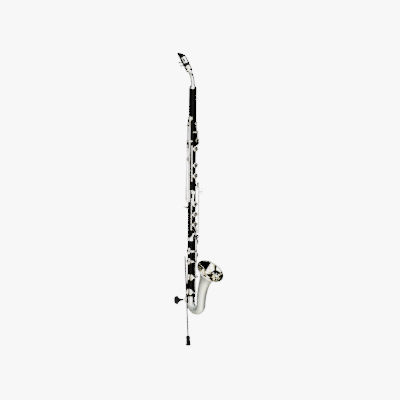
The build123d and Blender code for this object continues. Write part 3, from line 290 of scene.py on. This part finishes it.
def painted_reflection_metal(name):
    """The polished inside of the bell, coloured in uneven warm and dark streaks that paint reflected
    stripes.
    """
    material, tree, shader = principled(name, (0.95, 0.94, 0.9), metallic=1.0)
    painted_reflection_streaks = pattern(tree, WAVES, 26, (1, 0.4, 0.1), Distortion=2.5, Detail=2.0)
    # Dark olive to warm yellow stops: painted reflection stripes, not tarnish.
    stops = (
        (0.03, (0.4, 0.36, 0.16)),
        (0.2, (0.84, 0.78, 0.46)),
        (0.45, (0.93, 0.9, 0.72)),
        (0.65, (0.97, 0.97, 0.94)),
    )
    color_by(tree, shader, painted_reflection_streaks, stops)
    roughness_by(tree, shader, pattern(tree, NOISE, 420, Detail=6.0), 0.04, 0.1)
    return material


def steel(name, color, low, high, metallic=1.0):
    """Ground steel with fine upright lines, or a dull dark finish where metallic is low."""
    dark = tuple(DARK_LINES * value for value in color)
    material, tree, shader = principled(name, color, metallic=metallic, specular=0.08)
    grain = pattern(tree, NOISE, 900, (1, 1, 0.04), Detail=5.0)
    color_by(tree, shader, grain, ((0.3, dark), (0.65, color)))
    roughness_by(tree, shader, grain, low, high)
    relief(tree, shader, grain, 0.03 * MM, 0.3)
    return material


def black_wood():
    """African blackwood: nearly black, with fine open grain along the body and an oiled satin surface."""
    material, tree, shader = principled("black_wood", (0.003, 0.0026, 0.0025), specular=0.03)
    grain = pattern(tree, NOISE, 1500, (1, 1, 0.03), Detail=7.0, Distortion=0.3)
    stops = (
        (0.35, (0.0003, 0.0003, 0.0003)),
        (0.62, (0.001, 0.0009, 0.0009)),
        (0.8, (0.004, 0.003, 0.0027)),
    )
    color_by(tree, shader, grain, stops)
    roughness_by(tree, shader, grain, 0.2, 0.42)
    relief(tree, shader, grain, 0.06 * MM, 0.35)
    return material


def hard_rubber():
    """Polished ebonite, slightly hazed."""
    material, tree, shader = principled("ebonite", (0.0015, 0.0015, 0.0016), specular=0.06)
    cloud = pattern(tree, NOISE, 240, Detail=6.0)
    color_by(tree, shader, cloud, ((0.3, (0.001, 0.001, 0.001)), (0.8, (0.004, 0.0038, 0.003))))
    roughness_by(tree, shader, cloud, 0.08, 0.24)
    return material


def moulded(name, grit, low, high, specular=0.05):
    """A moulded black surface with a fine grit."""
    material, tree, shader = principled(name, (0.003, 0.003, 0.003), specular=specular)
    patches = pattern(tree, NOISE, 180, Detail=5.0)
    color_by(tree, shader, patches, ((0.3, (0.0005, 0.0005, 0.0005)), (0.8, (0.003, 0.003, 0.0028))))
    speck = pattern(tree, NOISE, grit, Detail=3.0)
    roughness_by(tree, shader, speck, low, high)
    relief(tree, shader, speck, 0.08 * MM, 0.4)
    return material


def cork():
    """Matt cork, brown, with darker cells."""
    material, tree, shader = principled("cork", (0.5, 0.33, 0.18), specular=0.2)
    cells = pattern(tree, CELLS, 1500)
    stops = ((0.0, (0.2, 0.11, 0.05)), (0.25, (0.46, 0.29, 0.15)), (0.8, (0.6, 0.42, 0.25)))
    color_by(tree, shader, cells, stops)
    roughness_by(tree, shader, cells, 0.7, 0.95)
    relief(tree, shader, cells, 0.2 * MM, 0.5)
    return material


def cane():
    """Reed cane: pale gold, with long fibres."""
    material, tree, shader = principled("cane", (0.72, 0.56, 0.28), specular=0.3)
    fibres = pattern(tree, NOISE, 1400, (1, 0.05, 0.05), Detail=6.0)
    stops = ((0.3, (0.5, 0.34, 0.13)), (0.6, (0.74, 0.58, 0.3)), (0.85, (0.82, 0.68, 0.4)))
    color_by(tree, shader, fibres, stops)
    roughness_by(tree, shader, fibres, 0.4, 0.65)
    relief(tree, shader, fibres, 0.08 * MM, 0.4)
    return material


def pad_skin():
    """The pale skin of a pad, faintly creased."""
    material, tree, shader = principled("pad_skin", (0.8, 0.72, 0.55), specular=0.3)
    folds = pattern(tree, NOISE, 700, Detail=6.0)
    color_by(tree, shader, folds, ((0.3, (0.66, 0.55, 0.36)), (0.7, (0.85, 0.78, 0.64))))
    roughness_by(tree, shader, folds, 0.35, 0.6)
    relief(tree, shader, folds, 0.1 * MM, 0.35)
    return material


# Each metal's colours are its light tone and its tarnish, and its last two numbers its range of roughness.
materials = {
    "black_wood": black_wood(),
    "silver_plate": plate_metal("silver_plate", (0.95, 0.95, 0.93), (0.74, 0.72, 0.56), 0.05, 0.14),
    "key_plate": plate_metal("key_plate", (0.95, 0.94, 0.91), (0.42, 0.4, 0.24), 0.03, 0.1, scratches=0.3),
    "bell_metal": spun_metal("bell_metal", (0.86, 0.93, 0.89), (0.78, 0.86, 0.81), 0.42, 0.58),
    "bell_inside": painted_reflection_metal("bell_inside"),
    # Near-black colour of the ring inside the rim: a painted dark reflection, not tarnish.
    "tarnish_and_painted_reflection": steel("tarnish_and_painted_reflection", (0.01, 0.009, 0.006), 0.4, 0.6, metallic=0.1),
    "steel": steel("steel", (0.5, 0.5, 0.49), 0.2, 0.4),
    "peg_steel": steel("peg_steel", (0.012, 0.012, 0.007), 0.35, 0.55, metallic=0.15),
    "blued_steel": steel("blued_steel", (0.05, 0.06, 0.1), 0.25, 0.4),
    "cork": cork(),
    "ebonite": hard_rubber(),
    "cane": cane(),
    "pad_skin": pad_skin(),
    "rubber": moulded("rubber", 2400, 0.5, 0.8),
    "black_plastic": moulded("black_plastic", 3200, 0.3, 0.5, specular=0.06),
}


def paint_nodes():
    """Gives every CAD node the material of its slot."""
    slots = {part["node"]: part["material_slot"] for part in record["subparts"]}
    for name, node in nodes.items():
        node.data.materials.clear()
        node.data.materials.append(materials[slots[name]])


# ---------------------------------------------------------------- mesh building blocks
def new_piece(name, material, body, shape):
    """Makes an object from a bmesh, smooth, that rides on a body."""
    mesh = bpy.data.meshes.new(name)
    bmesh.ops.recalc_face_normals(shape, faces=shape.faces)
    shape.to_mesh(mesh)
    shape.free()
    mesh.materials.append(materials[material])
    mesh.shade_smooth()
    piece = bpy.data.objects.new(name, mesh)
    bpy.context.scene.collection.objects.link(piece)
    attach(piece, body)
    return piece


NEAR_AXIS = 0.02 * MM  # how close to its axis a solid outline comes, so that no face collapses


def frame_of(centre, along):
    """Matrix whose z runs along a direction, at a centre."""
    return Matrix.Translation(centre) @ along.to_track_quat("Z", "Y").to_matrix().to_4x4()


def lathe(shape, centre, along, outline, steps=48):
    """Turns a closed half outline of (distance, place along the axis), in metres, about an axis."""
    place = frame_of(centre, along)
    rows = []
    for step in range(steps):
        angle = 2 * math.pi * step / steps
        across, other = math.cos(angle), math.sin(angle)
        points = [place @ Vector((r * across, r * other, z)) for r, z in outline]
        rows.append([shape.verts.new(point) for point in points])
    for step, row in enumerate(rows):
        following = rows[(step + 1) % steps]
        for index in range(len(outline)):
            after = (index + 1) % len(outline)
            shape.faces.new((row[index], row[after], following[after], following[index]))


def bead(shape, centre, along, radius, thick, steps=64, sides=12):
    """A round ring."""
    turns = [2 * math.pi * side / sides for side in range(sides)]
    lathe(shape, centre, along, [(radius + thick * math.cos(t), thick * math.sin(t)) for t in turns], steps)


def wire(shape, start, end, radius, sides=10):
    """A straight round wire."""
    length = (end - start).length
    outline = [(NEAR_AXIS, 0), (radius, 0), (radius, length), (NEAR_AXIS, length)]
    lathe(shape, start, end - start, outline, sides)


# ---------------------------------------------------------------- bell
# The CAD bell's own sizes: the U bend below the body and the flared bell that leans forward.
BOW_OFFSET = 48.0 * MM  # between the two legs of the U bend
BOW_TOP = 152.0 * MM
BOW_RADII = (14.0 * MM, 15.6 * MM)
BELL_CHORD = 125.5 * MM
BELL_TILT = math.radians(37)
BELL_BEND_R = BELL_CHORD / 2 / math.sin(BELL_TILT / 2)
BELL_TAPER = 4.5 * MM  # how much the bell widens steadily, besides its flare
BELL_MOUTH_R = 46.5 * MM
FLARE_POWER = 6
BELL_WALL = 1.0 * MM
BELL_BEAD = 1.9 * MM
BEAD_INSET = 0.6 * MM
BELL_ROUND = 128
BEAD_ROUND = 160
BOW_STEPS = 32
BELL_STEPS = 56
STEP_EASE = 1.35  # brings the bell's sections closer together towards its mouth
PAINTED_LINE_DEPTH = 1.5 * MM  # the painted dark reflection line inside the rim, drawn as a near-black ring
PAINTED_LINE_INSET = 2.7 * MM
PAINTED_LINE_THICK = 0.9 * MM


def bow_place(share):
    """Centre and direction on the U bend."""
    angle = math.pi * share
    half = BOW_OFFSET / 2
    centre = Vector((0, BODY_AXIS.y - half + half * math.cos(angle), BOW_TOP - half * math.sin(angle)))
    return centre, Vector((0, -math.sin(angle), -math.cos(angle)))


def bell_place(share):
    """Centre and direction on the bell's own bend."""
    angle = BELL_TILT * share
    start = Vector((0, BODY_AXIS.y - BOW_OFFSET, BOW_TOP))
    centre = start + Vector((0, -BELL_BEND_R * (1 - math.cos(angle)), BELL_BEND_R * math.sin(angle)))
    return centre, Vector((0, -math.sin(angle), math.cos(angle)))


def bell_sections(inset):
    """Cross sections of the bell's outside or inside, from the body's socket to the mouth."""
    rows = []
    start, end = BOW_RADII
    for step in range(BOW_STEPS + 1):
        share = step / BOW_STEPS
        rows.append((*bow_place(share), start + (end - start) * share - inset))
    flare = BELL_MOUTH_R - end - BELL_TAPER
    for step in range(1, BELL_STEPS + 1):
        share = 1 - (1 - step / BELL_STEPS) ** STEP_EASE
        rows.append((*bell_place(share), end + BELL_TAPER * share + flare * share**FLARE_POWER - inset))
    return rows


def skin(shape, sections, steps):
    """Joins round cross sections into a tube and returns its rings of vertices."""
    rings = []
    for centre, along, radius in sections:
        across = Vector((1, 0, 0))
        other = along.cross(across)
        ring = []
        for step in range(steps):
            turn = 2 * math.pi * step / steps
            spoke = across * math.cos(turn) + other * math.sin(turn)
            ring.append(shape.verts.new(centre + spoke * radius))
        rings.append(ring)
    for ring, following in zip(rings, rings[1:]):
        for step in range(steps):
            after = (step + 1) % steps
            shape.faces.new((ring[step], ring[after], following[after], following[step]))
    return rings


def close_ends(shape, outer, inner, steps):
    """Joins the outside and the inside at both ends of the tube."""
    for first, second in ((outer[0], inner[0]), (outer[-1], inner[-1])):
        for step in range(steps):
            after = (step + 1) % steps
            shape.faces.new((first[step], first[after], second[after], second[step]))


def build_bell():
    """The bell and its bow as one smooth spun shell, satin outside and polished inside."""
    shape = bmesh.new()
    outer = skin(shape, bell_sections(0), BELL_ROUND)
    faces_outside = len(shape.faces)
    inner = skin(shape, bell_sections(BELL_WALL), BELL_ROUND)
    faces_inside = len(shape.faces)
    close_ends(shape, outer, inner, BELL_ROUND)
    shape.faces.ensure_lookup_table()
    for index in range(faces_outside, faces_inside):
        shape.faces[index].material_index = 1
    bell = new_piece("bell_shell", "bell_metal", "body", shape)
    bell.data.materials.append(materials["bell_inside"])
    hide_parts("bell")


def build_bell_rim():
    """The rolled rim, and a near-black ring just inside it that paints a dark reflection line."""
    shape = bmesh.new()
    centre, along = bell_place(1)
    bead(shape, centre, along, BELL_MOUTH_R - BEAD_INSET, BELL_BEAD, steps=BEAD_ROUND, sides=20)
    rim = new_piece("bell_bead", "silver_plate", "body", shape)
    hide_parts("bell_rim")
    # The near-black ring below is a painted dark reflection line just inside the rim, not a groove.
    shape = bmesh.new()
    painted_line_centre = centre - along * PAINTED_LINE_DEPTH
    bead(shape, painted_line_centre, along, BELL_MOUTH_R - PAINTED_LINE_INSET, PAINTED_LINE_THICK, steps=BEAD_ROUND)
    new_piece("painted_reflection_ring", "tarnish_and_painted_reflection", "body", shape)


# ---------------------------------------------------------------- keywork details
PLATEAU_KEYS = (
    *("left_first", "left_second", "left_third"),
    *("right_first", "right_second", "right_third", "thumb"),
)
PAD_TO_RIM = 2.25 * MM  # from the middle of a plateau key's pad to the top of its rim
PLATE_RIM = (6.9 * MM, 0.5 * MM)  # radius and thickness of the rolled rim on a finger plate
PLATE_RING = (3.4 * MM, 0.22 * MM)  # and of the finer ring inside it
SPRING_R = 0.32 * MM
SPRING_START = (2.75 * MM, 0.9 * MM, -9 * MM)  # from a hinge towards the body, sideways and up
SPRING_END = (2.6 * MM, 1.5 * MM, 6 * MM)
SCREW_PLACE = 5.95 * MM  # from the middle of a pivot to the face of its post
SCREW_HEAD = (
    (NEAR_AXIS, 0),
    (1.5 * MM, 0),
    (1.5 * MM, 0.35 * MM),
    (1.0 * MM, 0.7 * MM),
    (NEAR_AXIS, 0.8 * MM),
)


def pad_middle(key):
    """Middle of a key's pad at rest."""
    low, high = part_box(f"{key}_pad")
    return (low + high) / 2


def rest_normal(key, angle):
    """Outward direction of a cup at rest. An open key stands turned back by its joint's whole range."""
    joint = joints[f"{key}_hinge"]
    reach = math.radians(joint["range_deg"][1])
    return Quaternion(Vector(joint["axis"]), -reach) @ outward(angle)


def build_plateau_rings():
    """A raised rolled rim and a finer ring on each finger plate."""
    for key in PLATEAU_KEYS:
        angle = 180 if key == "thumb" else 0
        normal = rest_normal(key, angle)
        middle = pad_middle(key) + normal * PAD_TO_RIM
        shape = bmesh.new()
        bead(shape, middle, normal, *PLATE_RIM)
        bead(shape, middle - normal * PLATE_RIM[1], normal, *PLATE_RING)
        new_piece(f"{key}_plate_rim", "key_plate", f"{key}_key", shape)


def build_needle_springs():
    """A straight blued needle spring beside each key's hinge tube."""
    for name, joint in joints.items():
        if not name.endswith("_hinge"):
            continue
        point = Vector(joint["pos_m"])
        inward = BODY_AXIS - point
        inward.z = 0
        inward.normalize()
        side = inward.cross(UP)
        ends = [point + inward * a + side * b + UP * c for a, b, c in (SPRING_START, SPRING_END)]
        shape = bmesh.new()
        wire(shape, *ends, SPRING_R)
        new_piece(name.replace("_hinge", "_spring"), "blued_steel", "body", shape)


def build_pivot_screws():
    """Domed heads on the pivot screws of the rocking keys."""
    for name, joint in joints.items():
        if not name.endswith("_pivot"):
            continue
        along = Vector(joint["axis"])
        for tag, sign in (("a", -1), ("b", 1)):
            head = Vector(joint["pos_m"]) + along * sign * SCREW_PLACE
            shape = bmesh.new()
            lathe(shape, head, along * sign, SCREW_HEAD)
            new_piece(name.replace("_pivot", f"_screw_{tag}"), "steel", "body", shape)


# ---------------------------------------------------------------- socket, clamp and peg
SOCKET_BEAD = (15.3 * MM, 0.45 * MM)  # radius and thickness
SOCKET_BEAD_HEIGHTS = (170.4 * MM, 154.6 * MM)
THREAD = (2.0 * MM, 0.16 * MM)  # radius and thickness of each ring of the clamp screw's thread
THREAD_START = 10.15 * MM
THREAD_PITCH = 0.35 * MM
THREAD_RINGS = 3
KNOB_END = 36.95 * MM  # how far the knob's flat face stands from the clamp's joint
KNOB_OUTLINE = ((0.02, 0), (12.4, 0), (11.8, 2.2), (9.6, 4.2), (6.2, 5.5), (0.02, 6.0))
RIB_THICK = 0.5 * MM
RIBS = ((9.0, 6.75), (12.5, 6.65), (16.0, 6.55), (19.5, 6.5))  # height and radius, in mm


def build_socket_beads():
    """Two turned beads on the bell's socket."""
    shape = bmesh.new()
    for height in SOCKET_BEAD_HEIGHTS:
        bead(shape, BODY_AXIS + UP * height, UP, *SOCKET_BEAD, steps=96)
    new_piece("socket_beads", "silver_plate", "body", shape)


def clamp_axis():
    """Centre and direction of the clamp screw."""
    joint = joints["clamp_turn"]
    return Vector(joint["pos_m"]), Vector(joint["axis"])


def build_clamp_thread():
    """Rings that stand for the clamp screw's thread, between its boss and the knob."""
    centre, along = clamp_axis()
    shape = bmesh.new()
    for ring in range(THREAD_RINGS):
        place = THREAD_START + ring * THREAD_PITCH
        bead(shape, centre + along * place, along, *THREAD, steps=32, sides=8)
    new_piece("clamp_thread", "steel", "clamp", shape)


def build_knob_dome():
    """The rounded face of the clamp's knob."""
    centre, along = clamp_axis()
    shape = bmesh.new()
    lathe(shape, centre + along * KNOB_END, along, [(r * MM, z * MM) for r, z in KNOB_OUTLINE])
    new_piece("knob_dome", "black_plastic", "clamp", shape)


def build_foot_ribs():
    """Moulded ribs round the rubber tip."""
    along = Vector(joints["peg_slide"]["axis"])
    shape = bmesh.new()
    for height, radius in RIBS:
        bead(shape, along * height * MM, along, radius * MM, RIB_THICK, sides=8)
    new_piece("foot_ribs", "rubber", "peg", shape)


# ---------------------------------------------------------------- build
paint_nodes()
build_bell()
build_bell_rim()
build_plateau_rings()
build_needle_springs()
build_pivot_screws()
build_socket_beads()
build_clamp_thread()
build_knob_dome()
build_foot_ribs()
add_camera()
add_floor()
add_world()


# ---------------------------------------------------------------- finish
bpy.context.view_layer.update()
